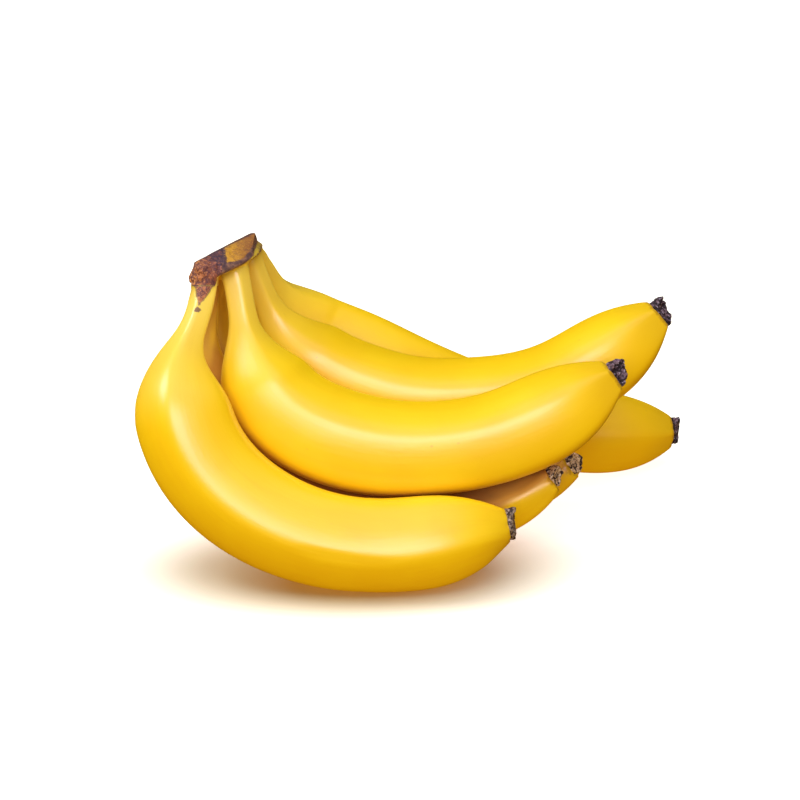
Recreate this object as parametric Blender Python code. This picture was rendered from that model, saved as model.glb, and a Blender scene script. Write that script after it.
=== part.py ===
"""A bunch of six bananas, grown together on one crown and lying on a flat surface.

The crown is at the upper left and the blossom ends point right. Bananas 1, 5, 6 rest
on the surface, and bananas 2, 3 and 4 lie above them. X runs along the fingers,
Y from the front of the bunch to its back, and Z is up. The tables are in
millimetres, and the meshes are in metres.
"""
import math

import bmesh
import bpy
import numpy as np

MM = 0.001
GAP = 0.3

# The sloping plane that the necks end on, under the crown: its height at one point, and
# how much it rises for each millimetre along X and Y. It is lowest at the back left.
NECK_PLANE_AT = (-73.0, -3.0)
NECK_PLANE_HEIGHT = 124.5
NECK_PLANE_SLOPE = (0.35, -0.15)
NECK_LENGTH = 21.5
END_RADIUS = 5.8
RINGS = 34
SIDES = 20
RIDGES = 5
RIDGE_HEIGHT = 0.022
RIDGE_HEIGHT_AT_ENDS = 0.040

# Dried blossom ends
STUB_LENGTH = 4.0
STUB_SIDES = 15

# The side of the bunch that the ridges' turn is counted from
FACING = np.array([0.0, -0.927, 0.375])

# The point on the surface under the middle of the whole bunch, in the tables' numbers.
# The resting fingers reach a little below it and are pressed flat there.
MIDDLE = np.array([2.01, -3.97, 0.40])

# Each finger's middle line from neck to blossom end, its neck's and its body's
# radius, the share that it swells by after its shoulder, the length of its shoulder,
# the length and fullness of its taper, and the turn of its ridges in degrees
FINGERS = {
    1: {
        "route": [
            (-92.5, -13.0, 119.0), (-95.0, -24.5, 107.0), (-100.8, -35.0, 93.2),
            (-100.6, -47.0, 75.2), (-91.5, -55.0, 53.5), (-75.0, -60.0, 37.0),
            (-52.0, -63.5, 25.5), (-16.0, -64.0, 19.5), (12.5, -62.5, 22.5),
            (37.0, -58.5, 26.5),
        ],
        "neck": 5.6, "body": 19.9, "swell": 0.06,
        "shoulder": 39.0, "taper": 48.0, "full": 2.7, "turn": -12.0,
    },
    2: {
        "route": [
            (-81.5, -2.5, 121.5), (-78.2, -10.5, 105.3), (-75.2, -16.8, 89.9),
            (-66.3, -23.3, 71.3), (-54.0, -28.9, 61.1), (-36.3, -33.9, 54.4),
            (-14.3, -36.1, 50.5), (11.5, -37.4, 51.8), (32.5, -36.0, 56.0),
            (58.0, -32.5, 67.0), (82.5, -27.5, 82.5),
        ],
        "neck": 6.0, "body": 19.7, "swell": 0.08,
        "shoulder": 33.5, "taper": 48.0, "full": 2.7, "turn": 20.0,
    },
    3: {
        "route": [
            (-77.0, 15.0, 120.5), (-71.0, 15.0, 103.0), (-62.3, 15.0, 85.0),
            (-48.4, 13.2, 69.8), (-28.2, 10.5, 60.3), (-5.3, 7.5, 55.0),
            (20.5, 7.2, 54.5), (56.0, 10.0, 60.0), (84.5, 16.0, 75.0),
            (107.0, 21.0, 93.0),
        ],
        "neck": 6.0, "body": 19.6, "swell": 0.02,
        "shoulder": 37.6, "taper": 48.0, "full": 2.7, "turn": 22.0,
    },
    4: {
        "route": [
            (-77.0, 29.0, 118.0), (-71.0, 38.0, 104.6), (-63.5, 46.8, 86.8),
            (-52.0, 53.3, 71.3), (-32.5, 52.5, 62.2), (-9.5, 50.2, 51.3),
            (15.0, 49.8, 40.2), (56.0, 53.0, 25.5), (85.0, 57.0, 19.5),
            (121.5, 62.5, 17.5),
        ],
        "neck": 6.0, "body": 19.6, "swell": 0.03,
        "shoulder": 34.0, "taper": 48.0, "full": 2.7, "turn": -4.0,
    },
    5: {
        "route": [
            (-94.0, 2.0, 116.5), (-95.5, 3.0, 95.5), (-98.0, 1.0, 74.5),
            (-92.5, -3.0, 51.8), (-79.4, -7.9, 33.2), (-60.3, -12.0, 20.2),
            (-35.0, -15.5, 16.4), (-6.0, -17.5, 16.4), (18.0, -21.0, 17.3),
            (40.5, -30.5, 25.0), (57.5, -31.0, 36.0),
        ],
        "neck": 6.0, "body": 17.0, "swell": 0.0,
        "shoulder": 34.0, "taper": 60.0, "full": 1.7, "turn": -8.0,
    },
    6: {
        "route": [
            (-89.5, 16.5, 116.0), (-91.0, 25.5, 95.5), (-91.5, 34.0, 72.5),
            (-86.0, 36.0, 51.5), (-73.0, 34.0, 33.0), (-54.0, 30.0, 20.0),
            (-28.0, 24.0, 16.5), (0.0, 19.5, 16.5), (26.0, 13.5, 18.0),
            (50.0, -5.0, 21.0), (67.5, -10.5, 33.0),
        ],
        "neck": 6.0, "body": 17.0, "swell": 0.0,
        "shoulder": 34.0, "taper": 60.0, "full": 1.7, "turn": 10.0,
    },
}
RESTING = (1, 5, 6)
CUT_PRECISION = 1e-7

# The crown seen from above, counter-clockwise from its front left corner, and the
# ridge along its top
CROWN_OUTLINE = [
    (-99.0, -15.0), (-95.0, -20.0), (-88.0, -19.5), (-79.5, -12.0), (-73.0, -3.0),
    (-70.3, 9.0), (-70.3, 22.0), (-71.5, 32.0), (-77.0, 36.0), (-84.0, 32.5),
    (-93.0, 25.0), (-99.0, 13.0), (-101.0, 0.0),
]
CROWN_RIDGE = ((-96.3, -17.5, 128.2), (-74.5, 18.5, 130.0))
CROWN_SIDES = 30
# Each level's share of the way in to the ridge and of the way up, on the cut
# front and on the rounded back
CROWN_LEVELS = [(0.0, 0.0, 0.0), (0.0, 0.22, 0.14), (0.15, 0.50, 0.34), (0.4, 0.80, 0.56),
                (0.75, 0.95, 0.80), (1.0, 1.0, 1.0)]
CROWN_UNDERCUT = 0.8
CROWN_TOP_HALF_WIDTH = 1.4

COLOURS = {
    "peel": ((0.86, 0.60, 0.03, 1.0), 0.38),
    "tip": ((0.035, 0.022, 0.018, 1.0), 0.85),
    "crown": ((0.22, 0.085, 0.028, 1.0), 0.75),
}


def clear_scene():
    for old in list(bpy.data.objects):
        bpy.data.objects.remove(old, do_unlink=True)


def material(name):
    colour, roughness = COLOURS[name]
    finish = bpy.data.materials.new(name)
    finish.use_nodes = True
    shader = finish.node_tree.nodes["Principled BSDF"]
    shader.inputs["Base Color"].default_value = colour
    shader.inputs["Roughness"].default_value = roughness
    shader.inputs["Metallic"].default_value = 0.0
    return finish


def ease(t):
    """Goes from 0 to 1 with a level start and a level end."""
    t = np.clip(t, 0.0, 1.0)
    return t * t * (3.0 - 2.0 * t)


def unit(vector):
    return vector / np.linalg.norm(vector)


def smooth_line(points, count, closed=False):
    """Points at equal steps along a smooth curve through the points given."""
    knots = np.array(points, dtype=float)
    if closed:
        knots = np.vstack([knots[-3:], knots, knots[:4]])
    steps = np.linalg.norm(np.diff(knots, axis=0), axis=1)
    place = np.concatenate([[0.0], np.cumsum(steps)])
    size = len(knots)
    system = np.eye(size)
    right = np.zeros_like(knots)
    for i in range(1, size - 1):
        system[i, i - 1] = steps[i - 1]
        system[i, i] = 2.0 * (steps[i - 1] + steps[i])
        system[i, i + 1] = steps[i]
        slope_after = (knots[i + 1] - knots[i]) / steps[i]
        slope_before = (knots[i] - knots[i - 1]) / steps[i - 1]
        right[i] = 6.0 * (slope_after - slope_before)
    bend = np.linalg.solve(system, right)
    first, last = (place[3], place[-4]) if closed else (place[0], place[-1])

    def at(where):
        i = np.clip(np.searchsorted(place, where) - 1, 0, size - 2)
        h = steps[i][:, None]
        a = (place[i + 1] - where)[:, None] / h
        b = 1.0 - a
        curve = ((a ** 3 - a) * bend[i] + (b ** 3 - b) * bend[i + 1]) * h * h / 6.0
        return a * knots[i] + b * knots[i + 1] + curve

    fine = at(np.linspace(first, last, 400))
    run = np.concatenate([[0.0], np.cumsum(np.linalg.norm(np.diff(fine, axis=0), axis=1))])
    wanted = np.linspace(0.0, run[-1], count, endpoint=not closed)
    return np.stack([np.interp(wanted, run, fine[:, k]) for k in range(3)], axis=1), run[-1]


def girth(along, length, finger):
    """A finger's radius: slim neck, shoulder, body, and taper to the blossom end."""
    grown = ease((along - NECK_LENGTH) / finger["shoulder"])
    radius = finger["neck"] + (finger["body"] - finger["neck"]) * grown
    radius = radius * (1.0 + finger["swell"] * grown * ease(1.0 - abs(along / length - 0.42) / 0.3))
    late = np.clip((along - length + finger["taper"]) / finger["taper"], 0.0, 1.0)
    return radius * (1.0 - late ** finger["full"] * (1.0 - END_RADIUS / finger["body"]))


def neck_plane(point):
    """The height at which the necks end, above or below a point."""
    across = np.array(point[:2]) - np.array(NECK_PLANE_AT)
    return NECK_PLANE_HEIGHT + np.dot(across, NECK_PLANE_SLOPE)


def section(centre, heading, radius, sharp, turn, sides):
    """One ring of a finger: a round pentagon square to the middle line."""
    front = unit(FACING - heading * np.dot(FACING, heading))
    upper = np.cross(front, heading)
    ring = []
    for k in range(sides):
        angle = 2.0 * math.pi * k / sides
        reach = radius * (1.0 + sharp * math.cos(RIDGES * angle))
        around = angle + math.radians(turn)
        ring.append(centre + reach * (math.cos(around) * front + math.sin(around) * upper))
    return ring


def finger_rings(finger):
    """The finger's rings from its neck to its end, and the end's place and heading."""
    middle, length = smooth_line(finger["route"], 240)
    heading = np.gradient(middle, axis=0)
    along = np.linspace(0.0, length, len(middle))
    stop = length - STUB_LENGTH / 2.0
    rings = []
    for place in np.linspace(0.0, stop, RINGS):
        centre = np.array([np.interp(place, along, middle[:, k]) for k in range(3)])
        way = unit(np.array([np.interp(place, along, heading[:, k]) for k in range(3)]))
        radius = girth(place, length, finger)
        slim = 1.0 - (radius - finger["neck"]) / (finger["body"] - finger["neck"])
        sharp = RIDGE_HEIGHT + (RIDGE_HEIGHT_AT_ENDS - RIDGE_HEIGHT) * ease(slim)
        rings.append(section(centre, way, radius, sharp, finger["turn"], SIDES))
    for point in rings[0]:
        point[2] = neck_plane(point)
    return rings, centre, way


def skin(name, rings, finish):
    """A closed solid through rings of points, with a face across each end."""
    bm = bmesh.new()
    loops = [[bm.verts.new((point - MIDDLE) * MM) for point in ring] for ring in rings]
    for one, other in zip(loops, loops[1:]):
        for k in range(len(one)):
            after = (k + 1) % len(one)
            bm.faces.new((one[k], one[after], other[after], other[k]))
    bm.faces.new(loops[0])
    bm.faces.new(loops[-1])
    bmesh.ops.recalc_face_normals(bm, faces=bm.faces)
    return finished(name, bm, finish)


def finished(name, bm, finish):
    mesh = bpy.data.meshes.new(name)
    bm.to_mesh(mesh)
    bm.free()
    mesh.shade_smooth()
    mesh.set_sharp_from_angle(angle=math.radians(50.0))
    mesh.materials.append(finish)
    piece = bpy.data.objects.new(name, mesh)
    bpy.context.scene.collection.objects.link(piece)
    return piece


def flatten_underside(piece):
    """Cuts the piece off level at the surface that it rests on and closes the cut."""
    bm = bmesh.new()
    bm.from_mesh(piece.data)
    everything = bm.verts[:] + bm.edges[:] + bm.faces[:]
    bmesh.ops.bisect_plane(
        bm, geom=everything, dist=CUT_PRECISION, plane_co=(0.0, 0.0, 0.0),
        plane_no=(0.0, 0.0, 1.0), clear_inner=True)
    rim = [edge for edge in bm.edges if edge.is_boundary]
    bmesh.ops.edgeloop_fill(bm, edges=rim)
    bmesh.ops.recalc_face_normals(bm, faces=bm.faces)
    bm.to_mesh(piece.data)
    bm.free()


def stub_rings(finger, number, centre, way):
    """The dried blossom end: a short uneven stub with a sunken middle."""
    levels = [(0.0, 0.96), (0.3, 1.08), (0.62, 1.02), (0.9, 0.80), (1.0, 0.55), (0.72, 0.25)]
    rings = []
    for share, width in levels:
        ring = []
        flat = section(centre, way, END_RADIUS * width, RIDGE_HEIGHT_AT_ENDS, finger["turn"],
                       STUB_SIDES)
        for k, point in enumerate(flat):
            uneven = 0.12 * share * math.sin(2.1 * k + 1.7 * number)
            ring.append(point + way * (GAP + STUB_LENGTH * (share + uneven * width)))
        rings.append(ring)
    return rings


def crown_rings():
    """The crown's levels, from its flat, sloping underside in to the ridge along its top."""
    outline, _ = smooth_line([(x, y, 0.0) for x, y in CROWN_OUTLINE], CROWN_SIDES, closed=True)
    start = np.array(CROWN_RIDGE[0])
    run = np.array(CROWN_RIDGE[1]) - start
    inner = np.array([*outline.mean(axis=0)[:2], 0.0])
    gap = GAP * math.sqrt(1.0 + np.dot(NECK_PLANE_SLOPE, NECK_PLANE_SLOPE))
    rings = []
    for level, (inward, rise_front, rise_back) in enumerate(CROWN_LEVELS):
        ring = []
        for point in outline:
            share = np.clip(np.dot(point[:2] - start[:2], run[:2]) / np.dot(run[:2], run[:2]), 0, 1)
            top = start + share * run
            out = np.array([point[0] - top[0], point[1] - top[1], 0.0])
            front = ease(0.5 + np.cross(unit(run)[:2], unit(out)[:2]) * -1.2)
            rise = rise_front * front + rise_back * (1.0 - front)
            edge = top + unit(out) * CROWN_TOP_HALF_WIDTH
            place = point + (edge - point) * inward
            if level == 0:
                place = place + unit(inner - point) * CROWN_UNDERCUT
            under = neck_plane(place if level == 0 else point) + gap
            place[2] = under + (top[2] - under) * rise
            ring.append(place)
        rings.append(ring)
    return rings


def build():
    clear_scene()
    peel = material("peel")
    dried = material("tip")
    stalk = material("crown")
    for number, finger in FINGERS.items():
        rings, centre, way = finger_rings(finger)
        fruit = skin(f"banana_{number}", rings, peel)
        if number in RESTING:
            flatten_underside(fruit)
        skin(f"tip_{number}", stub_rings(finger, number, centre, way), dried)
    skin("crown", crown_rings(), stalk)


build()
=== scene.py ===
"""The looks of a bunch of six ripe bananas on one crown, lying on a pale floor.

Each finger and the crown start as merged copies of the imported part's own solids, so
they stay where the part has them, and are rounded, creased and roughened from there.
The dried blossom ends are modelled from a disc. Sizes are in millimetres unless a
name says otherwise, and meshes are in metres.
"""
import math

import bmesh
import bpy
import numpy as np
from mathutils import Matrix, Vector, noise
from mathutils.bvhtree import BVHTree
from mathutils.kdtree import KDTree


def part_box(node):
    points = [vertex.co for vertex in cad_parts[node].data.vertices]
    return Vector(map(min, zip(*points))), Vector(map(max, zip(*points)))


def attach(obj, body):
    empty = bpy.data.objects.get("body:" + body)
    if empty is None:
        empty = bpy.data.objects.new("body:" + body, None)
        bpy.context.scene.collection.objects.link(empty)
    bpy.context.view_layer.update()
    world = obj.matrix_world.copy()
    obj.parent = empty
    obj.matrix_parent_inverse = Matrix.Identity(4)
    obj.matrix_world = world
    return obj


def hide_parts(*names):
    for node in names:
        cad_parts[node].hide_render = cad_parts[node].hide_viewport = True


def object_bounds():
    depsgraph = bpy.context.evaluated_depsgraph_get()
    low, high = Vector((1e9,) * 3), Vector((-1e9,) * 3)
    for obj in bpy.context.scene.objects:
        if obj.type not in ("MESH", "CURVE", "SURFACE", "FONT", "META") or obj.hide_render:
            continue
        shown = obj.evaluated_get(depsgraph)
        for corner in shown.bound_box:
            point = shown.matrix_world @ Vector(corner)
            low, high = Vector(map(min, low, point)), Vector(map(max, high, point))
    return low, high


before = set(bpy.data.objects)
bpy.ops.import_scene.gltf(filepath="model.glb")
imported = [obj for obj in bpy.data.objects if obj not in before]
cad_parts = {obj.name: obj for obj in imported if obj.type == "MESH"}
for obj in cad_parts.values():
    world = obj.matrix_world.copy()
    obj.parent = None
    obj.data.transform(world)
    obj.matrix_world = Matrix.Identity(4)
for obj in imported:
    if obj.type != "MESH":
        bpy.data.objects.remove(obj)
cad_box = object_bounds()

MM = 0.001
FINGERS = (1, 2, 3, 4, 5, 6)

# The photograph's viewpoint: what the camera looks at, from how far, and how steeply
LOOK_AT = Vector((-12.01, -37.03, 75.10))
CAMERA_DISTANCE = 840.0
CAMERA_ELEVATION = math.radians(22.0)
LENS = 90.0
SENSOR = 36.0
PICTURE = 800.0
PICTURE_RIGHT = Vector((1.0, 0.0, 0.0))
PICTURE_UP = Vector((0.0, math.sin(CAMERA_ELEVATION), math.cos(CAMERA_ELEVATION)))
TO_CAMERA = Vector((0.0, -math.cos(CAMERA_ELEVATION), math.sin(CAMERA_ELEVATION)))

# The side of the bunch that angles around a finger are counted from
FACING = Vector((0.0, -0.927, 0.375))

# Copies of the solids: the gap that is merged, and how far the two triangles of one
# four-sided face may be bent and skewed, in degrees
MERGE_DISTANCE = 0.01
QUAD_BEND = 50.0
QUAD_SKEW = 60.0
# How far every skin stays inside the part's own box
BOX_MARGIN = 0.05

# Fingers: the ridges, how deep the facets lie between them, and how narrow they are
RIDGES = 5
FACET_DIP = 1.15
FACET_DIP_AT_TIP = 0.95
FACET_DIP_AT_NECK = 0.45
CREST_POWER = 3.2
# Subdividing draws the skin in a little, so it is let out again by a share of its radius
LET_OUT = 0.052
LET_OUT_AT_NECK = 0.036
# How far along a finger its neck ends and its body begins
NECK_END = 20.0
BODY_START = 60.0
# The share of a finger's length at which its end begins, how long it takes to form, and
# the stretch of the body on which the solid's own ridges are looked for
TIP_START = 0.72
TIP_SPAN = 0.20
BODY_STRETCH = (0.35, 0.60)
# The height above the floor at which the skin is free to move
FREE_OF_FLOOR = 4.0
# Rounds of smoothing of how far each point moves, which hides jumps inside sharp bends
MOVE_SMOOTHING = 9
LINE_POINTS = 240
# A face belongs to the flat top of a neck when it faces up the neck's slope this squarely
# and lies this close below the finger's highest point
TOP_SQUARENESS = 0.97
TOP_REACH = 15.0
# The straight rod on which the peel's pattern is laid out: its radius, and the stretch
# of it that each finger has to itself
ROD_RADIUS = 20.0
ROD_STRETCH = 500.0
# How many ways, over the whole round, a point looks for the rest of the bunch, from how
# far above the skin, and how far
HOLLOW_WAYS = 40
HOLLOW_LIFT = 0.4
HOLLOW_REACH = 24.0
# Ways flatter than this to the skin are left out, and a skin at the far end of the reach
# hides this much less than a near one. Rounds of smoothing follow
HOLLOW_FLATTEST = 0.15
HOLLOW_FADE = 0.5
HOLLOW_SMOOTHING = 3
# How strongly painted shade darkens the hollows of each finger, the hidden lower row the most
SHADE_DEPTHS = (0.80, 0.78, 0.92, 1.35, 2.0, 1.8)

# Dried blossom ends. Each level's height over the finger's end and its radius: up the
# outside, over the lip, and down into the sunken middle with its small nub
STUB_SIDES = 40
STUB_PROFILE = [(-3.6, 5.0), (-1.4, 5.4), (0.4, 6.0), (1.8, 6.2), (3.0, 5.8), (3.6, 4.9),
                (2.8, 4.0), (2.0, 2.9), (2.5, 1.8), (3.0, 0.7)]
# Each stub's way out, as its angle on the picture plane and its turn from the camera, in
# degrees, and its share of the full width and depth
STUB_POSES = {
    1: (3.0, 84.0, 1.10, 0.70),
    2: (12.0, 46.0, 0.92, 1.0),
    3: (22.0, 62.0, 1.02, 0.95),
    4: (-20.0, 58.0, 1.05, 0.95),
    5: (-14.0, 56.0, 0.74, 0.80),
    6: (10.0, 42.0, 0.76, 0.80),
}
# The lobes around each stub: the angle from its top, in degrees, the width, and how far
# out and how far up it reaches
STUB_LOBES = {
    1: [(0, 24, 0.30, 2.6), (75, 30, 0.10, 0.6), (150, 26, 0.22, 1.2), (215, 30, 0.20, 0.8),
        (290, 28, 0.08, 0.2)],
    2: [(42, 28, 0.30, 1.5), (-42, 28, 0.28, 1.3), (180, 34, 0.24, 0.6), (115, 22, 0.05, 0.9),
        (245, 22, 0.05, 0.4)],
    3: [(-8, 20, 0.34, 3.4), (60, 30, 0.12, 0.8), (135, 28, 0.18, 0.9), (195, 26, 0.24, 1.1),
        (275, 30, 0.10, 0.3)],
    4: [(5, 18, 0.30, 2.4), (80, 28, 0.14, 0.6), (160, 30, 0.22, 0.8), (230, 24, 0.12, 0.9),
        (300, 28, 0.10, 0.2)],
    5: [(15, 26, 0.14, 0.9), (90, 28, 0.16, 0.5), (170, 26, 0.20, 1.0), (240, 30, 0.12, 0.6),
        (310, 26, 0.18, 0.9)],
    6: [(0, 28, 0.12, 0.5), (70, 28, 0.18, 0.9), (150, 28, 0.14, 0.4), (215, 26, 0.22, 1.2),
        (290, 28, 0.16, 0.8)],
}
# Between the lobes a stub is narrower and lower by these, and both grow up to this height
# and out to this radius
STUB_NARROWER = 0.10
STUB_LOWER = 0.5
STUB_RISE = 3.5
STUB_BODY = 5.0
# Pleats all round: how many, how deep, and how they turn from one stub to the next
STUB_PLEATS = 13
STUB_PLEAT_DEPTH = 0.05
STUB_PLEAT_SHIFT = 1.3
# Crumples: their depth, the share of the skin that lies low, their fineness, each
# finger's shift into the pattern, and the pattern's roughness settings
CRUMPLE = 0.85
CRUMPLE_LOW_SHARE = 0.55
CRUMPLE_FINENESS = 330.0
CRUMPLE_SHIFT = 7.0
CRUMPLE_SETTINGS = (0.7, 2.1, 5, 1.0, 2.0)
# How deep a stub sits in the finger
STUB_SEAT = 2.0
# The last millimetres before the bunch's own end, in which a stub is squeezed shorter
STUB_GIVE = 2.5

# Crown: the way up the necks' slope, and how finely its tissue is remade
NECK_SLOPE_UP = Vector((-0.35, 0.15, 1.0)).normalized()
CROWN_VOXEL = 0.75
# The tissue runs down each neck as a collar: its length, how far it is drawn up into the
# crown, how far over the neck's skin it starts and under it ends, and the depth by which
# it lies so
COLLAR_LENGTH = 13.0
COLLAR_RISE = 4.0
COLLAR_OVER = 0.80
COLLAR_UNDER = -0.25
COLLAR_BLEND = 4.0
# The last stretch of a collar, all of it under the neck's skin, and how its cover falls
COLLAR_SUNK = 2.5
COLLAR_FALL = 1.5
# How far above its underside the crown starts to go back to the solid's shape, over what
# height, and how nearly. Then the plane that its right end is cut square to, and the
# height over which that starts
SQUARE_START = 0.5
SQUARE_SPAN = 3.0
SQUARE_SHARE = 0.9
CROWN_RIGHT_END = -75.4
END_SPAN = 2.5
# The torn scar runs over the crown's lower edge left of and before these, and between
# these heights as the camera sees them, so the step there is smoothed away
SCAR_FOOT_RIGHT = -89.0
SCAR_FOOT_BACK = -8.0
SCAR_FOOT_RISES = (98.0, 110.0)
SCAR_FOOT_SMOOTHING = 14
# The heights over its underside between which the crown's surface turns rough, and how
# sharply that ends where it turns from the front
ROUGH_START = -0.5
ROUGH_FULL = 1.5
FRONT_SHARPNESS = 1.5
# Torn scar: its right border, and its lower one as the camera sees it. Cut face: its left
# border, and its lower one, which climbs by this share to the right. Then the stretches
# over which they fade
SCAR_RIGHT = -86.5
SCAR_LOW = 103.0
CUT_LEFT = -86.0
CUT_LOW = 114.0
CUT_CLIMB = 0.55
BORDER_SPAN = 2.0
SCAR_LOW_SPAN = 3.0
# How far the torn shreds and the knobs stand out, the shreds' middle level, how fine both
# are, and how far the cut face is hollowed
SHRED_HEIGHT = 0.75
SHRED_MIDDLE = 0.75
SHRED_FINENESS = 420.0
KNOB_HEIGHT = 0.10
KNOB_FINENESS = 240.0
CUT_HOLLOW = 0.35

# The way that the crown's front faces, on which the outlines below are painted
CROWN_FRONT = (-0.25, -0.90, 0.35)
# Where the tissues of the crown's front meet, in pixels across and down the photograph
STALK = [(180.0, 285.0), (197.0, 286.5), (241.0, 266.0), (247.0, 262.0), (253.0, 256.0),
         (257.3, 242.0), (258.0, 222.0), (180.0, 222.0)]
SCAR = [(182.0, 262.0), (203.0, 250.0), (222.0, 243.0), (222.0, 271.0), (213.0, 288.5),
        (196.0, 289.0), (190.0, 285.0), (182.0, 285.0)]
SCAR_POINT = [(195.5, 286.0), (197.0, 294.0), (198.5, 304.5), (200.5, 304.5), (207.0, 295.0),
              (214.0, 286.0)]
SPOT = [(193.5, 311.5), (196.5, 307.0), (201.5, 310.0), (199.0, 312.0)]
WEDGE = [(220.0, 244.0), (224.5, 246.0), (227.5, 261.0), (224.0, 268.0), (215.0, 263.0),
         (218.0, 254.0)]
WEDGE_FOOT = [(203.0, 253.0), (221.0, 244.0), (223.0, 262.5), (209.0, 261.0)]
TOP_LINE = [(170.0, 274.5), (254.0, 233.6), (270.0, 222.0), (270.0, 200.0), (170.0, 200.0)]
CUT_FACE = [(222.5, 236.0), (222.5, 250.0), (226.5, 262.5), (237.0, 261.0), (244.0, 258.0),
            (249.0, 252.0), (253.0, 244.5), (257.0, 236.0), (258.0, 222.0), (240.0, 222.0)]
# Half the width over which an outline's edge fades, in pixels
OUTLINE_SOFTNESS = 0.6

# Peel's gloss, and the tint that turns its highlights cream
PEEL_IOR = 1.6
PEEL_SHEEN = 0.9
SHEEN_TINT = (1.0, 0.72, 0.98, 1.0)

# Colours of the peel, from the freshest to the darkest
YELLOWS = ((0.90, 0.570, 0.0), (0.92, 0.610, 0.0))
STRAND_YELLOW = (0.88, 0.53, 0.0)
LEMON = (0.84, 0.68, 0.15)
END_OCHRE = (0.70, 0.42, 0.01)
FLECK_BROWN = (0.42, 0.20, 0.02)
RIM_BROWN = (0.36, 0.16, 0.01)
# Painted shade for the hollows between the fingers
PAINTED_SHADE_AMBER = (0.50, 0.21, 0.0)
PAINTED_DEEP_SHADE = (0.22, 0.085, 0.0)

# Colours of the crown: neck skin, rind, torn scar, cut face and the dark borders
NECK_YELLOWS = ((0.90, 0.555, 0.0), (0.92, 0.595, 0.0))
NECK_OLIVE = (0.36, 0.22, 0.01)
RINDS = ((0.090, 0.042, 0.030), (0.26, 0.125, 0.070))
RIND_PORES = (0.045, 0.020, 0.026)
SCAR_ORANGE = (0.66, 0.26, 0.050)
SCAR_RUSSET = (0.46, 0.155, 0.030)
SCAR_RED = (0.27, 0.075, 0.032)
SCAR_SHREDS = (0.085, 0.020, 0.018)
SCAR_SPECKS = (0.70, 0.30, 0.12)
SCAR_BLOTCHES = (0.075, 0.020, 0.028)
SCAR_BORDER = (0.09, 0.025, 0.035)
CUT_FRESH = (0.60, 0.29, 0.004)
CUT_BROWNED = (0.30, 0.105, 0.012)
CUT_STREAKS = (0.26, 0.085, 0.012)
CUT_SPECKS = (0.68, 0.38, 0.02)
CUT_DEEP = (0.13, 0.045, 0.020)
WEDGE_DARK = (0.045, 0.022, 0.034)
TOP_DARK = (0.06, 0.028, 0.032)

# Each look of the dried ends: its dark and pale tissue, its painted glints, and the pale share
STUB_LOOKS = {
    "dark": ((0.026, 0.011, 0.024), (0.17, 0.10, 0.15), (0.42, 0.35, 0.50), 0.18),
    "grey": ((0.060, 0.032, 0.034), (0.26, 0.18, 0.14), (0.50, 0.40, 0.38), 0.34),
    "pale": ((0.040, 0.018, 0.020), (0.56, 0.38, 0.26), (0.88, 0.74, 0.66), 0.36),
}
STUB_LOOK_OF = {1: "grey", 2: "dark", 3: "dark", 4: "dark", 5: "pale", 6: "pale"}
# Painted near-black shade in the dips of the stubs' fine relief
STUB_PAINTED_CREVICE_SHADE = (0.010, 0.005, 0.010)

# Studio: the light of the room above and of the warm glow below, and each softbox's
# direction from the camera's and height, both in degrees, distance and size in metres,
# and watts
ROOM = (0.22, 0.195, 0.09)
GLOW_BELOW = (0.74, 0.42, 0.04)
SOFTBOXES = {
    "front": (-5.0, 29.0, 1.30, (1.05, 0.80), 12.0),
    "left": (-90.0, 42.0, 1.10, (0.50, 0.60), 6.0),
    "top": (10.0, 78.0, 1.05, (1.10, 1.10), 6.2),
    "top, mirrored": (10.0, 78.0, 1.05, (1.10, 1.10), 2.2),
}
UNREFLECTED = ("top",)
OFF_THE_FLOOR = ("front",)

# The floor is matt, is painted darker in an oval below the front finger as a painted shadow, and
# glows like a lit backdrop outside it:
# minus the oval's centre, and one over its half width and half depth, in metres
SHADE_CENTRE = (0.035, 0.046, 0.0)
SHADE_SPREAD = (1.0 / 0.110, 1.0 / 0.058, 0.0)
FLOOR_WHITES = ((0.95, 0.92, 0.80), (0.98, 0.95, 0.83))
FLOOR_PAINTED_SHADOW = (0.76, 0.70, 0.52)
FLOOR_GLOWS = ((0.02, 0.02, 0.02), (0.9, 0.9, 0.9))
# The floor's sides, in metres
FLOOR_SIZE = 8.0
# Between these heights of a look, from -1 straight down to 1 straight up, the glow from
# below gives way to the room
GLOW_EDGE = (-0.25, 0.15)
# How near the camera still sees, in metres
NEAREST_SEEN = 0.01


# shader nodes
class Field:
    """A value that a shader node gives at each point. Sums on it add Math nodes."""

    def __init__(self, finish, socket):
        self.finish = finish
        self.socket = socket

    def __add__(self, other):
        return self.finish.math("ADD", self, other)

    def __sub__(self, other):
        return self.finish.math("SUBTRACT", self, other)

    def __rsub__(self, other):
        return self.finish.math("SUBTRACT", other, self)

    def __mul__(self, other):
        return self.finish.math("MULTIPLY", self, other)

    def __truediv__(self, other):
        return self.finish.math("DIVIDE", self, other)

    def least(self, other):
        return self.finish.math("MINIMUM", self, other)

    def most(self, other):
        return self.finish.math("MAXIMUM", self, other)

    __radd__ = __add__
    __rmul__ = __mul__


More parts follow.
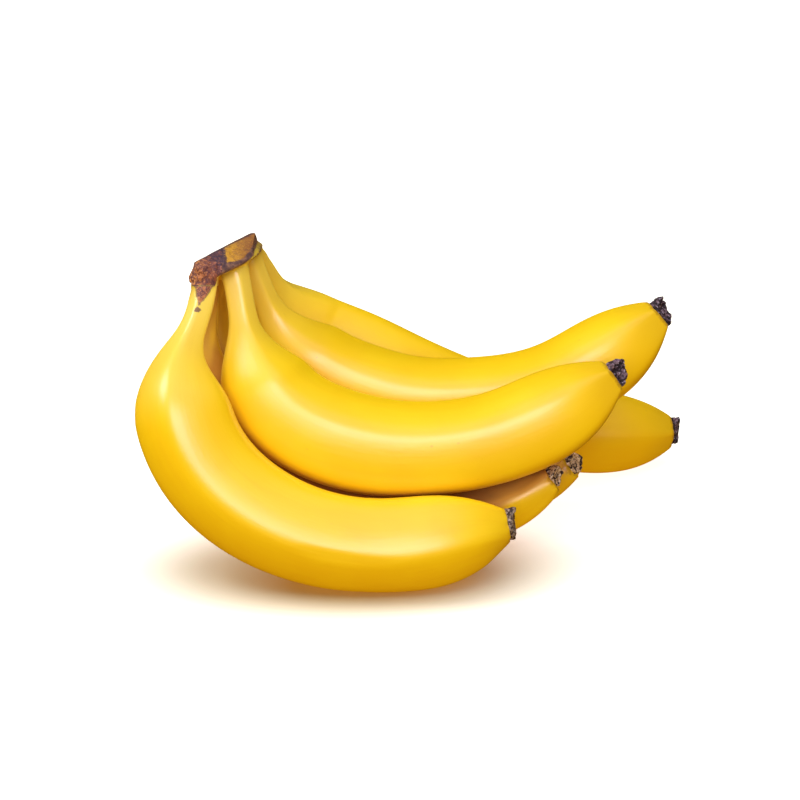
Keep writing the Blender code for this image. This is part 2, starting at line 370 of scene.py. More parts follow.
class Finish:
    """One material, whose nodes are added by the steps that describe it."""

    def __init__(self, name):
        self.material = bpy.data.materials.new(name)
        self.material.use_nodes = True
        self.tree = self.material.node_tree
        self.shader = self.tree.nodes["Principled BSDF"]
        self.place = self.node("ShaderNodeTexCoord", out="Object")

    def node(self, kind, settings=None, values=None, out=0):
        """Adds a node, sets it up, fills or links its sockets and gives one output."""
        node = self.tree.nodes.new(kind)
        for key, value in (settings or {}).items():
            setattr(node, key, value)
        for key, value in (values or {}).items():
            self.put(node.inputs[key], value)
        return Field(self, node.outputs[out])

    def put(self, socket, value):
        """Links a field to a socket, or sets the socket to a number, vector or colour."""
        if isinstance(value, Field):
            self.tree.links.new(value.socket, socket)
        elif hasattr(value, "__len__") and len(value) == 3 and socket.type == "RGBA":
            socket.default_value = (*value, 1.0)
        else:
            socket.default_value = value

    def math(self, operation, first, second):
        return self.node("ShaderNodeMath", {"operation": operation}, {0: first, 1: second})

    def attribute(self, name, out="Fac"):
        return self.node("ShaderNodeAttribute", {"attribute_name": name}, out=out)

    def apart(self, vector):
        """The three parts of a vector as fields."""
        node = self.tree.nodes.new("ShaderNodeSeparateXYZ")
        self.put(node.inputs[0], vector)
        return [Field(self, socket) for socket in node.outputs]

    def dot(self, vector, other):
        return self.node("ShaderNodeVectorMath", {"operation": "DOT_PRODUCT"},
                         {0: vector, 1: tuple(other)}, out="Value")

    def stretched(self, vector, scale):
        return self.node("ShaderNodeVectorMath", {"operation": "MULTIPLY"}, {0: vector, 1: scale})

    def shifted(self, vector, by):
        return self.node("ShaderNodeVectorMath", {"operation": "ADD"}, {0: vector, 1: by})

    def noise(self, vector, scale, detail=4.0, roughness=0.55, distortion=0.0):
        return self.node("ShaderNodeTexNoise", {}, {
            "Vector": vector, "Scale": scale, "Detail": detail, "Roughness": roughness,
            "Distortion": distortion})

    def cells(self, vector, scale):
        return self.node("ShaderNodeTexVoronoi", {}, {"Vector": vector, "Scale": scale},
                         out="Distance")

    def step(self, value, low, high):
        """0 below low, 1 above high, and a smooth rise between; low may be the larger."""
        return self.node("ShaderNodeMapRange", {"interpolation_type": "SMOOTHSTEP"}, {
            "Value": value, "From Min": low, "From Max": high})

    def mix(self, share, first, second):
        return self.node("ShaderNodeMix", {"data_type": "RGBA"}, {0: share, 6: first, 7: second},
                         out=2)

    def bump(self, height, strength, distance):
        return self.node("ShaderNodeBump", {}, {
            "Strength": strength, "Distance": distance, "Height": height})

    def facing(self, way):
        """How squarely the surface faces a way: 1 straight on, 0 edge on, -1 turned away."""
        return self.dot(self.node("ShaderNodeNewGeometry", out="Normal"), way)

    def finish_with(self, **sockets):
        """Sets the shader's sockets, whose names are written with underscores."""
        for name, value in sockets.items():
            self.put(self.shader.inputs[name.replace("_", " ")], value)
        return self.material


# modelling helpers
def deselect_all():
    if bpy.context.mode != "OBJECT":
        bpy.ops.object.mode_set(mode="OBJECT")
    bpy.ops.object.select_all(action="DESELECT")


def pick(piece):
    deselect_all()
    piece.select_set(True)
    bpy.context.view_layer.objects.active = piece


def edit(piece):
    """Opens a piece in edit mode with all of it selected."""
    pick(piece)
    bpy.ops.object.mode_set(mode="EDIT")
    bpy.ops.mesh.select_all(action="SELECT")


def done():
    bpy.ops.object.mode_set(mode="OBJECT")


def apply_modifier(piece, kind, **settings):
    pick(piece)
    modifier = piece.modifiers.new(kind.lower(), kind)
    for key, value in settings.items():
        setattr(modifier, key, value)
    bpy.ops.object.modifier_apply(modifier=modifier.name)


def merged_copy(node, name):
    """A copy of a CAD node as one connected mesh of mostly four-sided faces."""
    piece = bpy.data.objects.new(name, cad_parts[node].data.copy())
    bpy.context.scene.collection.objects.link(piece)
    piece.data.materials.clear()
    edit(piece)
    bpy.ops.mesh.customdata_custom_splitnormals_clear()
    bpy.ops.mesh.remove_doubles(threshold=MERGE_DISTANCE * MM)
    bpy.ops.mesh.mark_sharp(clear=True)
    bpy.ops.mesh.tris_convert_to_quads(
        face_threshold=math.radians(QUAD_BEND), shape_threshold=math.radians(QUAD_SKEW))
    done()
    return piece


def vertex_places(mesh):
    flat = np.zeros(len(mesh.vertices) * 3)
    mesh.vertices.foreach_get("co", flat)
    return flat.reshape(-1, 3)


def set_vertex_places(mesh, places):
    mesh.vertices.foreach_set("co", places.ravel())
    mesh.update()


def vertex_normals(mesh):
    flat = np.zeros(len(mesh.vertices) * 3)
    mesh.vertices.foreach_get("normal", flat)
    return flat.reshape(-1, 3)


def ease(t):
    """0 below 0, 1 above 1, and a smooth rise between."""
    t = np.clip(t, 0.0, 1.0)
    return t * t * (3.0 - 2.0 * t)


def spread_out(mesh, values, rounds):
    """Averages rows of values, one for each vertex, with the neighbours' a few times."""
    edges = np.zeros(len(mesh.edges) * 2, dtype=np.int32)
    mesh.edges.foreach_get("vertices", edges)
    ends = edges.reshape(-1, 2)
    neighbours = np.maximum(np.bincount(edges, minlength=len(values)), 1)
    for _ in range(rounds):
        around = np.zeros_like(values)
        for column in range(values.shape[1]):
            ahead = np.bincount(ends[:, 0], values[ends[:, 1], column], len(values))
            behind = np.bincount(ends[:, 1], values[ends[:, 0], column], len(values))
            around[:, column] = (ahead + behind) / neighbours
        values = (values + around) / 2.0
    return values


def put_values(mesh, name, values):
    """Stores a number on each vertex, for the materials to read."""
    layer = mesh.attributes.new(name, "FLOAT", "POINT")
    layer.data.foreach_set("value", values.ravel())


def put_vectors(mesh, name, vectors):
    layer = mesh.attributes.new(name, "FLOAT_VECTOR", "POINT")
    layer.data.foreach_set("vector", vectors.ravel())


def show(piece, finish, slot, *nodes):
    """Gives a finished piece its material and its place in the part."""
    piece.data.materials.clear()
    piece.data.materials.append(finish)
    pick(piece)
    bpy.ops.object.shade_smooth()
    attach(piece, "root")
    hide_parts(*nodes)


# fingers
def middle_line(mesh):
    """Points along a finger's middle from its neck to its blossom end, and the run to each."""
    bm = bmesh.new()
    bm.from_mesh(mesh)
    bm.normal_update()
    lowest = max(vert.co.z for vert in bm.verts) - TOP_REACH * MM
    ring = {
        vert for face in bm.faces for vert in face.verts
        if face.normal.dot(NECK_SLOPE_UP) > TOP_SQUARENESS
        and face.calc_center_median().z > lowest}
    reached = set(ring)
    centres = []
    while ring:
        centres.append(sum((vert.co for vert in ring), Vector()) / len(ring))
        ring = {edge.other_vert(vert) for vert in ring for edge in vert.link_edges} - reached
        reached |= ring
    bm.free()
    centres = np.array([tuple(centre) for centre in centres])
    for _ in range(2):
        centres[1:-1] = centres[1:-1] * 0.5 + (centres[:-2] + centres[2:]) * 0.25
    run = np.concatenate([[0.0], np.cumsum(np.linalg.norm(np.diff(centres, axis=0), axis=1))])
    wanted = np.linspace(0.0, run[-1], LINE_POINTS)
    line = np.stack([np.interp(wanted, run, centres[:, k]) for k in range(3)], axis=1)
    return line, wanted


def around_line(places, line, run):
    """For each place: its run along the line, its way out from it, angle and radius."""
    tree = KDTree(len(line))
    for index, point in enumerate(line):
        tree.insert(point, index)
    tree.balance()
    heading = np.gradient(line, axis=0)
    heading /= np.linalg.norm(heading, axis=1)[:, None]
    nearest = np.array([tree.find(place)[1] for place in places])
    way = heading[nearest]
    offset = places - line[nearest]
    ahead = np.einsum("ij,ij->i", offset, way)
    out = offset - way * ahead[:, None]
    radius = np.linalg.norm(out, axis=1)
    facing = np.array(FACING)
    front = facing - way * (way @ facing)[:, None]
    front /= np.linalg.norm(front, axis=1)[:, None]
    upper = np.cross(front, way)
    angle = np.arctan2(np.einsum("ij,ij->i", out, upper), np.einsum("ij,ij->i", out, front))
    return run[nearest] + ahead, out / np.maximum(radius, 1e-6)[:, None], angle, radius


def ridge_turn(angle, radius, along, length):
    """The angle at which the solid's own ridges stand, found from its middle stretch."""
    body = (along > length * BODY_STRETCH[0]) & (along < length * BODY_STRETCH[1])
    bulge = radius[body] - radius[body].mean()
    return np.angle(np.sum(bulge * np.exp(1j * RIDGES * angle[body]))) / RIDGES


def underside():
    """How far up the neck's slope the crown's flat underside is."""
    return min(vert.co.dot(NECK_SLOPE_UP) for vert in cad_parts["crown"].data.vertices)


UNDERSIDE = underside()


def finger(number, finish):
    """A finger with rounder skin and crisper ridges than its solid has."""
    piece = merged_copy(f"banana_{number}", f"peel_{number}")
    line, run = middle_line(piece.data)
    apply_modifier(piece, "SUBSURF", levels=2, render_levels=2)
    places = vertex_places(piece.data)
    along, out, angle, radius = around_line(places, line, run)
    turn = ridge_turn(angle, radius, along, run[-1])
    length = along.max()
    crest = ((1.0 + np.cos(RIDGES * (angle - turn))) / 2.0) ** CREST_POWER
    to_tip = ease((along / length - TIP_START) / TIP_SPAN)
    to_neck = ease((BODY_START - along / MM) / (BODY_START - NECK_END))
    dip = FACET_DIP * (1.0 - to_tip - to_neck) + FACET_DIP_AT_TIP * to_tip
    dip = (dip + FACET_DIP_AT_NECK * to_neck) * MM
    let_out = radius * (LET_OUT + (LET_OUT_AT_NECK - LET_OUT) * to_neck)
    off_floor = ease(places[:, 2] / (FREE_OF_FLOOR * MM))
    move = out * ((let_out - dip * (1.0 - crest)) * off_floor)[:, None]
    places = places + spread_out(piece.data, move, MOVE_SMOOTHING)
    low = np.array(cad_box[0]) + BOX_MARGIN * MM
    high = np.array(cad_box[1]) - BOX_MARGIN * MM
    low[2] = 0.0
    set_vertex_places(piece.data, np.clip(places, low, high))
    on_rod = np.stack([np.cos(angle - turn) * ROD_RADIUS * MM,
                       np.sin(angle - turn) * ROD_RADIUS * MM,
                       along + number * ROD_STRETCH * MM], axis=1)
    put_vectors(piece.data, "place_on_rod", on_rod)
    put_values(piece.data, "run_to_end", length - along)
    show(piece, finish, "peel", f"banana_{number}")
    return piece


def joined_skin(pieces):
    """One search tree over the skins of several pieces."""
    corners = []
    faces = []
    for piece in pieces:
        first = len(corners)
        corners.extend(vert.co.copy() for vert in piece.data.vertices)
        faces.extend([first + index for index in face.vertices] for face in piece.data.polygons)
    return BVHTree.FromPolygons(corners, faces)


def ways_all_round():
    """Evenly spread ways, on a spiral from straight up to straight down."""
    golden_angle = math.pi * (3.0 - math.sqrt(5.0))
    ways = []
    for index in range(HOLLOW_WAYS):
        rise = 1.0 - (index + 0.5) * 2.0 / HOLLOW_WAYS
        turn = index * golden_angle
        flat = math.sqrt(1.0 - rise * rise)
        ways.append(Vector((flat * math.cos(turn), flat * math.sin(turn), rise)))
    return ways


def mark_hollows_for_painted_shade(pieces):
    """Stores on each point how much of the open air over it the bunch itself hides, for the
    painted shade.
    """
    skin = joined_skin(pieces)
    reach = HOLLOW_REACH * MM
    ways = ways_all_round()
    for piece, depth in zip(pieces, SHADE_DEPTHS):
        hidden = []
        for vert in piece.data.vertices:
            start = vert.co + vert.normal * (HOLLOW_LIFT * MM)
            total = 0.0
            shut = 0.0
            for way in ways:
                share = vert.normal.dot(way)
                if share > HOLLOW_FLATTEST:
                    total += share
                    distance = skin.ray_cast(start, way, reach)[3]
                    if distance is not None:
                        shut += share * (1.0 - HOLLOW_FADE * distance / reach)
            hidden.append(shut / max(total, HOLLOW_FLATTEST) * depth)
        hidden = spread_out(piece.data, np.array(hidden)[:, None], HOLLOW_SMOOTHING)
        put_values(piece.data, "hollow", hidden)


# dried blossom ends
def stub_way(number):
    """The way in which a stub points out of its finger's end."""
    tilt, from_camera = (math.radians(angle) for angle in STUB_POSES[number][:2])
    way = PICTURE_RIGHT * (math.cos(tilt) * math.sin(from_camera))
    way += PICTURE_UP * (math.sin(tilt) * math.sin(from_camera))
    way += TO_CAMERA * math.cos(from_camera)
    return way


def plain_stub(number):
    """A round stub that stands up at the origin, with a lip and a sunken middle."""
    height, radius = STUB_PROFILE[0]
    deselect_all()
    bpy.ops.mesh.primitive_circle_add(
        vertices=STUB_SIDES, radius=radius * MM, fill_type="NGON",
        location=(0.0, 0.0, height * MM))
    piece = bpy.context.object
    piece.name = f"dried_end_{number}"
    bpy.ops.object.transform_apply(location=True, rotation=True, scale=True)
    edit(piece)
    for (below, wide), (above, narrow) in zip(STUB_PROFILE, STUB_PROFILE[1:]):
        bpy.ops.mesh.extrude_region_move(
            TRANSFORM_OT_translate={"value": (0.0, 0.0, (above - below) * MM)})
        bpy.ops.transform.resize(value=(narrow / wide, narrow / wide, 1.0))
    bpy.ops.mesh.select_all(action="SELECT")
    bpy.ops.mesh.normals_make_consistent(inside=False)
    done()
    return piece


def add_lobes(piece, number):
    """Draws a stub out into its lobes and pleats."""
    places = vertex_places(piece.data)
    angle = np.arctan2(places[:, 0], places[:, 1])
    radius = np.hypot(places[:, 0], places[:, 1])
    rise = ease(places[:, 2] / (STUB_RISE * MM))
    share = np.clip(radius / (STUB_BODY * MM), 0.0, 1.0)
    outward = np.full(len(places), -STUB_NARROWER)
    upward = np.full(len(places), -STUB_LOWER)
    for at, wide, reach, height in STUB_LOBES[number]:
        gap = np.abs((angle - math.radians(at) + math.pi) % (2.0 * math.pi) - math.pi)
        lobe = np.exp(-(gap / math.radians(wide)) ** 2)
        outward += lobe * reach
        upward += lobe * height
    pleats = np.cos(STUB_PLEATS * angle + STUB_PLEAT_SHIFT * number) * STUB_PLEAT_DEPTH
    wider = 1.0 + outward * rise + pleats * share
    places[:, 0] *= wider
    places[:, 1] *= wider
    places[:, 2] += upward * rise * share ** 2 * MM
    set_vertex_places(piece.data, places)


def crumple(piece, number):
    """Raises sharp folds all over a stub, and stores how high each point lies on them."""
    places = vertex_places(piece.data)
    folds = []
    for place in places:
        at = Vector(place) * CRUMPLE_FINENESS + Vector((0.0, 0.0, number * CRUMPLE_SHIFT))
        folds.append(noise.ridged_multi_fractal(at, *CRUMPLE_SETTINGS))
    folds = np.argsort(np.argsort(folds)) / len(folds)
    lift = (folds - CRUMPLE_LOW_SHARE) * CRUMPLE * MM
    set_vertex_places(piece.data, places + vertex_normals(piece.data) * lift[:, None])
    put_values(piece.data, "fold", folds)


def dried_end(number, finish):
    """A shrivelled, lobed stub of dried tissue on the end of a finger."""
    piece = plain_stub(number)
    add_lobes(piece, number)
    apply_modifier(piece, "SUBSURF", levels=2, render_levels=2)
    crumple(piece, number)
    low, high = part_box(f"tip_{number}")
    width, depth = STUB_POSES[number][2:]
    way = stub_way(number)
    base = (low + high) / 2.0 - way * (STUB_SEAT * depth * MM)
    turned = way.to_track_quat("Z", "Y").to_matrix().to_4x4()
    sized = Matrix.Diagonal((width, width, depth, 1.0))
    piece.data.transform(Matrix.Translation(base) @ turned @ sized)
    places = vertex_places(piece.data)
    give = STUB_GIVE * MM
    limit = cad_box[1][0] - BOX_MARGIN * MM - give
    beyond = np.maximum(places[:, 0] - limit, 0.0) / give
    places[:, 0] = np.where(beyond > 0.0, limit + np.tanh(beyond) * give, places[:, 0])
    set_vertex_places(piece.data, places)
    show(piece, finish, "tip", f"tip_{number}")
    return piece


# crown
def collar(number):
    """The top of a neck, which grows into the crown."""
    piece = merged_copy(f"banana_{number}", f"collar_{number}")
    low_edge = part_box(f"banana_{number}")[1] - Vector((0.0, 0.0, COLLAR_LENGTH * MM))
    edit(piece)
    bpy.ops.mesh.bisect(
        plane_co=low_edge, plane_no=(0.0, 0.0, 1.0), use_fill=True, clear_inner=True)
    bpy.ops.mesh.select_all(action="DESELECT")
    bm = bmesh.from_edit_mesh(piece.data)
    for face in bm.faces:
        face.select = face.normal.dot(NECK_SLOPE_UP) > TOP_SQUARENESS
    bm.select_flush_mode()
    bmesh.update_edit_mesh(piece.data)
    bpy.ops.transform.translate(value=(0.0, 0.0, COLLAR_RISE * MM))
    done()
    return piece


def lay_on_necks(piece, fruits):
    """Below the crown its tissue follows each neck's skin, and sinks into it at the end."""
    skin = joined_skin(fruits)
    for vert in piece.data.vertices:
        depth = (UNDERSIDE - vert.co.dot(NECK_SLOPE_UP)) / MM
        if depth <= 0.0:
            continue
        place, normal, _, _ = skin.find_nearest(vert.co)
        left = 1.0 - min(depth / (COLLAR_LENGTH - COLLAR_SUNK), 1.0)
        over = COLLAR_UNDER + (COLLAR_OVER - COLLAR_UNDER) * left ** COLLAR_FALL
        share = float(ease(depth / COLLAR_BLEND))
        vert.co = vert.co.lerp(place + normal * over * MM, share)


def square_up(piece):
    """Smoothing rounded the crown's cut edges, so its upper part goes back to the solid's."""
    solid = joined_skin([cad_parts["crown"]])
    end = CROWN_RIGHT_END * MM
    for vert in piece.data.vertices:
        height = (vert.co.dot(NECK_SLOPE_UP) - UNDERSIDE) / MM
        if height > 0.0:
            place = solid.find_nearest(vert.co)[0]
            back = float(ease((height - SQUARE_START) / SQUARE_SPAN))
            vert.co = vert.co.lerp(place, SQUARE_SHARE * back)
            if vert.co.x > end:
                past = 1.0 - float(ease((height - SQUARE_START) / END_SPAN))
                vert.co.x = end + (vert.co.x - end) * past


def smooth_scar_foot(piece):
    """Takes away the step between the crown and the front neck where the scar crosses it."""
    edit(piece)
    bpy.ops.mesh.select_all(action="DESELECT")
    bm = bmesh.from_edit_mesh(piece.data)
    low, high = SCAR_FOOT_RISES
    for vert in bm.verts:
        x, y, rise = vert.co.x / MM, vert.co.y / MM, vert.co.dot(PICTURE_UP) / MM
        vert.select = x < SCAR_FOOT_RIGHT and y < SCAR_FOOT_BACK and low < rise < high
    bm.select_flush_mode()
    bmesh.update_edit_mesh(piece.data)
    bpy.ops.mesh.vertices_smooth(factor=0.5, repeat=SCAR_FOOT_SMOOTHING)
    done()


def roughen(piece):
    """Torn fibres stand up from the scar, and the rest of the crown is faintly knobbly."""
    places = vertex_places(piece.data)
    normals = vertex_normals(piece.data)
    x = places[:, 0] / MM
    rise = places @ np.array(PICTURE_UP) / MM
    height = (places @ np.array(NECK_SLOPE_UP) - UNDERSIDE) / MM
    above = ease((height - ROUGH_START) / (ROUGH_FULL - ROUGH_START))
    front = above * ease(0.5 - normals[:, 1] * FRONT_SHARPNESS)
    scar = front * ease((SCAR_RIGHT - x) / BORDER_SPAN) * ease((rise - SCAR_LOW) / SCAR_LOW_SPAN)
    over_cut = rise - CUT_LOW - (x - CUT_LEFT) * CUT_CLIMB
    cut = front * ease((x - CUT_LEFT) / BORDER_SPAN) * ease(over_cut / BORDER_SPAN)
    shreds = [noise.turbulence(Vector(place) * SHRED_FINENESS, 4, False) for place in places]
    knobs = [noise.noise(Vector(place) * KNOB_FINENESS) for place in places]
    lift = KNOB_HEIGHT * np.array(knobs) * above - CUT_HOLLOW * cut
    lift += SHRED_HEIGHT * (np.array(shreds) - SHRED_MIDDLE) * scar
    set_vertex_places(piece.data, places + normals * (lift * MM)[:, None])


def crown(fruits, finish):
    """The crown with the tops of all six necks grown into it."""
    piece = merged_copy("crown", "crown_tissue")
    collars = [collar(number) for number in FINGERS]
    pick(piece)
    for part in collars:
        part.select_set(True)
    bpy.ops.object.join()
    apply_modifier(piece, "REMESH", mode="VOXEL", voxel_size=CROWN_VOXEL * MM)
    apply_modifier(piece, "SMOOTH", factor=0.5, iterations=3)
    lay_on_necks(piece, fruits)
    square_up(piece)
    smooth_scar_foot(piece)
    apply_modifier(piece, "SUBSURF", levels=1, render_levels=1)
    roughen(piece)
    show(piece, finish, "crown", "crown")
    return piece


# materials
def neck_height(f):
    """Metres above the crown's underside, square to it; less than 0 on the necks."""
    return f.dot(f.place, NECK_SLOPE_UP) - UNDERSIDE


def near_crown(f, colour, height):
    """Necks turn a paler, greener lemon towards the crown."""
    return f.mix(f.step(height, -0.048, -0.004) * 0.55, colour, LEMON)


def on_picture(f):
    """Where a place falls on the photograph, in pixels across and down."""
    eye = (LOOK_AT + TO_CAMERA * CAMERA_DISTANCE) * MM
    from_eye = f.shifted(f.place, tuple(-eye))
    size = f.dot(from_eye, -TO_CAMERA) * (SENSOR / LENS / PICTURE)
    across = f.dot(from_eye, PICTURE_RIGHT) / size + PICTURE / 2.0
    down = PICTURE / 2.0 - f.dot(from_eye, PICTURE_UP) / size
    return across, down


def patch(f, across, down, corners, wobble):
    """1 inside a convex outline on the photograph, whose edge wanders by the wobble."""
    corners = [Vector(corner) for corner in corners]
    middle = sum(corners, Vector((0.0, 0.0))) / len(corners)
    inside = None
    for start, end in zip(corners, corners[1:] + corners[:1]):
        inward = (end - start).orthogonal().normalized()
        if inward.dot(middle - start) < 0.0:
            inward = -inward
        reach = across * inward.x + down * inward.y - inward.dot(start)
        inside = reach if inside is None else inside.least(reach)
    return f.step(inside + wobble, -OUTLINE_SOFTNESS, OUTLINE_SOFTNESS)


def crown_grain(f):
    """Coarse and fine mottling of the crown, and the pixels by which borders wander."""
    coarse = f.noise(f.place, 330.0, roughness=0.6)
    fine = f.noise(f.place, 1300.0, roughness=0.65)
    return coarse, fine, (coarse - 0.5) * 10.0 + (fine - 0.5) * 4.0


def crown_front(f):
    """1 on the side of the crown that the photograph shows."""
    return f.step(f.facing(CROWN_FRONT), -0.15, 0.15)


def front_neck(f, y):
    """1 on the front finger's neck, before the others."""
    return f.step(y, -0.011, -0.013)


def scar_colour(f, x, coarse, fine):
    """Torn tissue: orange at the far left, redder to the right, with dark shreds."""
    shreds = f.noise(f.stretched(f.place, (1.0, 1.0, 0.45)), 560.0, detail=5.0, roughness=0.7,
                     distortion=0.6)
    scar = f.mix(f.step(x, -0.0975, -0.0900), SCAR_RUSSET, SCAR_RED)
    scar = f.mix(f.step(x, -0.0955, -0.0995), scar, SCAR_ORANGE)
    scar = f.mix(f.step(shreds, 0.53, 0.47) * 0.85, scar, SCAR_SHREDS)
    scar = f.mix(f.step(fine, 0.54, 0.62) * 0.55, scar, SCAR_SPECKS)
    return f.mix(f.step(coarse, 0.52, 0.57) * 0.6, scar, SCAR_BLOTCHES), shreds


def scar_point(f, colour, height):
    """The scar's narrow end, which runs down onto the front neck, and a dark spot below."""
    x, y, _ = f.apart(f.place)
    across, down = on_picture(f)
    coarse, fine, wobble = crown_grain(f)
    front = crown_front(f) * f.step(height, -0.030, -0.026) * front_neck(f, y)
    inside = patch(f, across, down, SCAR_POINT, wobble * 0.3) * front
    scar, _ = scar_colour(f, x, coarse, fine)
    colour = f.mix(inside, colour, scar)
    border = patch(f, across, down, SCAR_POINT, 0.8 + wobble * 0.4)
    border = border.most(patch(f, across, down, SPOT, wobble * 0.5)) * front * (1.0 - inside)
    return f.mix(border * 0.85, colour, SCAR_BORDER), inside.most(border)


def peel_finish():
    """Waxy yellow peel with faint strands, sparse flecks, and painted amber shade in its hollows.
    """
    f = Finish("ripe peel")
    height = neck_height(f)
    to_end = f.attribute("run_to_end")
    on_rod = f.attribute("place_on_rod", out="Vector")
    cloud = f.noise(f.place, 28.0, detail=3.0)
    strands = f.noise(f.stretched(on_rod, (1.0, 1.0, 0.06)), 900.0)
    wide_strands = f.noise(f.stretched(on_rod, (1.0, 1.0, 0.10)), 240.0, detail=3.0)
    colour = f.mix(f.step(cloud, 0.35, 0.65), *YELLOWS)
    colour = f.mix(f.step(wide_strands, 0.45, 0.75) * 0.35, colour, STRAND_YELLOW)
    colour = near_crown(f, colour, height)

    colour = f.mix(f.step(to_end, 0.020, 0.003) * 0.35, colour, END_OCHRE)
    rim = f.step(to_end + f.noise(f.place, 700.0) * 0.003, 0.0034, 0.0020)
    colour = f.mix(rim * 0.6, colour, RIM_BROWN)

    fleck_place = f.stretched(on_rod, (1.0, 1.0, 0.7))
    fleck = f.step(f.cells(fleck_place, 190.0), 0.12, 0.05)
    sparse = f.step(f.noise(fleck_place, 60.0), 0.56, 0.66)
    colour = f.mix(fleck * sparse * 0.35, colour, FLECK_BROWN)

    # Painted shade: amber where the bunch hides much of the air over the skin, near brown-black
    # where it hides the most
    hollow = f.attribute("hollow")
    painted_shade = f.step(hollow, 0.40, 0.88)
    colour = f.mix(painted_shade * 0.85, colour, PAINTED_SHADE_AMBER)
    colour = f.mix(f.step(hollow, 0.90, 1.50) * 0.8, colour, PAINTED_DEEP_SHADE)

    colour, torn = scar_point(f, colour, height)
    rough = 0.32 + 0.06 * cloud + 0.05 * strands + 0.35 * torn + 0.35 * painted_shade
    grain = strands * 0.5 + wide_strands + f.noise(f.place, 420.0) * 0.6
    return f.finish_with(
        Base_Color=colour, Roughness=rough, Normal=f.bump(grain, 0.12, 0.0006),
        IOR=PEEL_IOR, Specular_IOR_Level=PEEL_SHEEN, Specular_Tint=SHEEN_TINT)


def stub_finish(look):
    """Dead tissue: pale where its folds stand up, partly as painted light, with painted glints
    and painted near-black shade in its crevices.
    """
    f = Finish(f"dried end, {look}")
    dark, pale, painted_glint, pale_share = STUB_LOOKS[look]
    blotch = f.noise(f.place, 400.0, detail=3.0)
    fine = f.noise(f.place, 760.0, detail=3.0)
    # The pale tissue is partly the tissue's own colour and partly painted light on the raised
    # folds
    pale_tissue_and_painted_light = f.attribute("fold") * 0.4 + blotch * 2.4 - 0.90
    colour = f.mix(f.step(pale_tissue_and_painted_light, 0.88 - pale_share, 0.74 - pale_share), pale, dark)
    # Painted glints on the peaks of the fine relief, and painted shade in its dips
    colour = f.mix(f.step(fine, 0.57, 0.63) * 0.75, colour, painted_glint)
    colour = f.mix(f.step(fine, 0.46, 0.40) * 0.8, colour, STUB_PAINTED_CREVICE_SHADE)
    return f.finish_with(Base_Color=colour, Roughness=0.55 + 0.25 * fine,
                         Normal=f.bump(blotch + fine * 0.6, 0.8, 0.0009))


def neck_skin(f, coarse, height):
    """The skin of the necks, which browns a little just under the crown."""
    skin = f.mix(f.step(coarse, 0.35, 0.7), *NECK_YELLOWS)
    skin = near_crown(f, skin, height)
    return f.mix(f.step(height, -0.006, 0.002) * 0.5, skin, NECK_OLIVE)


def rind_colour(f, coarse, fine):
    """The crown's old outside, dark to russet."""
    rind = f.mix(f.step(coarse, 0.42, 0.60), *RINDS)
    return f.mix(f.step(fine, 0.52, 0.60) * 0.6, rind, RIND_PORES)


def cut_colour(f, across, coarse, fine, wobble):
    """The cut face: olive yellow at its left, browned and blotched to the right."""
    cut = f.mix(f.step(across + wobble, 229.0, 250.0), CUT_FRESH, CUT_BROWNED)
    streak = f.noise(f.stretched(f.place, (1.0, 1.0, 0.35)), 480.0, roughness=0.65)
    cut = f.mix(f.step(streak, 0.50, 0.60) * 0.65, cut, CUT_STREAKS)
    cut = f.mix(f.step(fine, 0.52, 0.62) * 0.45, cut, CUT_SPECKS)
    deep = f.step(coarse, 0.56, 0.64) * f.step(across, 234.0, 248.0)
    return f.mix(deep * 0.7, cut, CUT_DEEP)


def crown_finish():
    """Neck skin below, and above it rind, torn scar, cut tissue and a dark wedge."""
    f = Finish("crown tissue")
    x, y, _ = f.apart(f.place)
    across, down = on_picture(f)
    height = neck_height(f)
    front = crown_front(f)
    coarse, fine, wobble = crown_grain(f)
    scar, shreds = scar_colour(f, x, coarse, fine)

    # Rind starts at the crown's underside, and lower where it grows down the front neck
    stalk = f.step(height + wobble * 0.00015, -0.0002, 0.0006) * (1.0 - front)
    grown = f.step(height, -0.0010, 0.0002).most(front_neck(f, y)) * front
    stalk = stalk + patch(f, across, down, STALK, wobble * 0.25) * grown
    colour = f.mix(stalk, neck_skin(f, coarse, height), rind_colour(f, coarse, fine))

    cut = patch(f, across, down, CUT_FACE, wobble * 0.2) * front
    colour = f.mix(cut, colour, cut_colour(f, across, coarse, fine, wobble))
    torn = patch(f, across, down, SCAR, wobble * 0.4) * grown
    colour = f.mix(torn, colour, scar)
    wedge = patch(f, across, down, WEDGE, wobble * 0.3)
    wedge = wedge.most(patch(f, across, down, WEDGE_FOOT, wobble * 0.5)) * grown
    colour = f.mix(wedge * f.step(shreds, 0.62, 0.50) * 0.95, colour, WEDGE_DARK)
    top_line = patch(f, across, down, TOP_LINE, wobble * 0.2) * front
    colour = f.mix(top_line * 0.85, colour, TOP_DARK)
    colour, point = scar_point(f, colour, height)

    rough = f.step(stalk.most(torn).most(point), 0.0, 1.0)
    grain = (coarse + shreds * 1.2 * torn + fine * 0.5) * (0.10 + rough)
    return f.finish_with(
        Base_Color=colour, Roughness=0.35 + 0.40 * rough - 0.12 * cut,
        Normal=f.bump(grain, 0.6, 0.0010),
        IOR=PEEL_IOR, Specular_IOR_Level=PEEL_SHEEN, Specular_Tint=SHEEN_TINT)


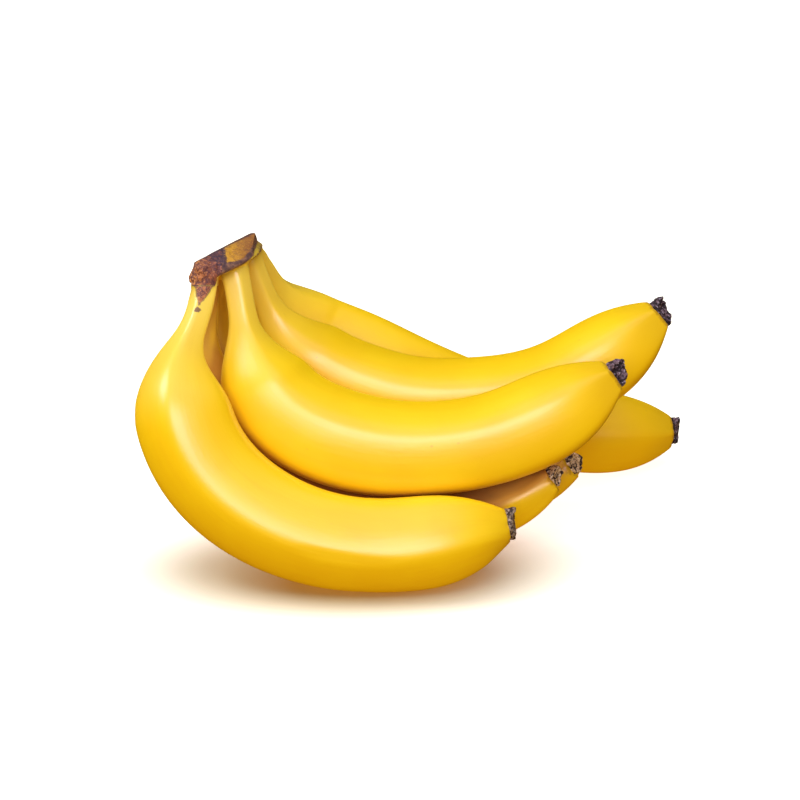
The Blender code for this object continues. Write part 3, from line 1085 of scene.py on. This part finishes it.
def floor_finish():
    """A matt white floor, painted darker below the front finger as a painted shadow, which glows
    a little far from the bunch like a lit backdrop.
    """
    f = Finish("pale floor")
    around = f.stretched(f.shifted(f.place, SHADE_CENTRE), SHADE_SPREAD)
    away = f.node("ShaderNodeVectorMath", {"operation": "LENGTH"}, {0: around}, out="Value")
    white = f.mix(f.noise(f.place, 40.0), *FLOOR_WHITES)
    # Painted shadow: a darker, warmer floor in the oval below the front finger
    white = f.mix(f.step(away, 1.00, 0.35), white, FLOOR_PAINTED_SHADOW)
    glow = f.mix(f.step(away, 0.40, 1.15), *FLOOR_GLOWS)
    return f.finish_with(
        Base_Color=white, Roughness=0.9, Emission_Color=glow, Emission_Strength=1.0)


# stage
def add_floor():
    deselect_all()
    bpy.ops.mesh.primitive_plane_add(size=FLOOR_SIZE, location=(0.0, 0.0, 0.0))
    floor = bpy.context.object
    floor.name = "floor"
    floor.data.materials.append(floor_finish())
    floor.visible_diffuse = False
    floor.visible_glossy = False
    floor.visible_shadow = False


def add_camera():
    camera = bpy.data.objects.new("camera", bpy.data.cameras.new("camera"))
    camera.location = (LOOK_AT + TO_CAMERA * CAMERA_DISTANCE) * MM
    camera.rotation_euler = (math.pi / 2.0 - CAMERA_ELEVATION, 0.0, 0.0)
    camera.data.lens = LENS
    camera.data.sensor_width = SENSOR
    camera.data.clip_start = NEAREST_SEEN
    bpy.context.scene.collection.objects.link(camera)
    bpy.context.scene.camera = camera


def add_light(name, turn, height, distance, size, watts, fruit_only):
    """A softbox that faces the bunch, and may light the bunch alone or not be mirrored."""
    lamp = bpy.data.lights.new(name, "AREA")
    lamp.shape = "RECTANGLE"
    lamp.size, lamp.size_y = size
    lamp.energy = watts
    light = bpy.data.objects.new(name, lamp)
    turn, height = math.radians(turn), math.radians(height)
    away = Vector((math.sin(turn) * math.cos(height), -math.cos(turn) * math.cos(height),
                   math.sin(height)))
    light.location = LOOK_AT * MM + away * distance
    light.rotation_euler = (-away).to_track_quat("-Z", "Y").to_euler()
    light.visible_glossy = name not in UNREFLECTED
    if name in OFF_THE_FLOOR:
        light.light_linking.receiver_collection = fruit_only
    bpy.context.scene.collection.objects.link(light)


def add_studio(pieces):
    """The softboxes, a dim white room, and a warm glow where the floor would be."""
    world = bpy.data.worlds.new("studio")
    bpy.context.scene.world = world
    world.use_nodes = True
    world.cycles_visibility.glossy = False
    nodes = world.node_tree.nodes
    links = world.node_tree.links
    where = nodes.new("ShaderNodeTexCoord")
    split = nodes.new("ShaderNodeSeparateXYZ")
    rise = nodes.new("ShaderNodeMapRange")
    rise.inputs["From Min"].default_value = GLOW_EDGE[0]
    rise.inputs["From Max"].default_value = GLOW_EDGE[1]
    blend = nodes.new("ShaderNodeMix")
    blend.data_type = "RGBA"
    blend.inputs[6].default_value = (*GLOW_BELOW, 1.0)
    blend.inputs[7].default_value = (*ROOM, 1.0)
    links.new(where.outputs["Generated"], split.inputs[0])
    links.new(split.outputs["Z"], rise.inputs["Value"])
    links.new(rise.outputs[0], blend.inputs[0])
    links.new(blend.outputs[2], nodes["Background"].inputs["Color"])
    fruit_only = bpy.data.collections.new("lit by the front softbox")
    for piece in pieces:
        fruit_only.objects.link(piece)
    for name, settings in SOFTBOXES.items():
        add_light(name, *settings, fruit_only)
    bpy.context.scene.view_settings.view_transform = "Standard"


# the bunch
peel = peel_finish()
stub_finishes = {look: stub_finish(look) for look in STUB_LOOKS}
fruits = []
ends = []
for number in FINGERS:
    fruits.append(finger(number, peel))
    ends.append(dried_end(number, stub_finishes[STUB_LOOK_OF[number]]))
stem = crown(fruits, crown_finish())
mark_hollows_for_painted_shade(fruits)

add_floor()
add_camera()
add_studio(ends + fruits + [stem])
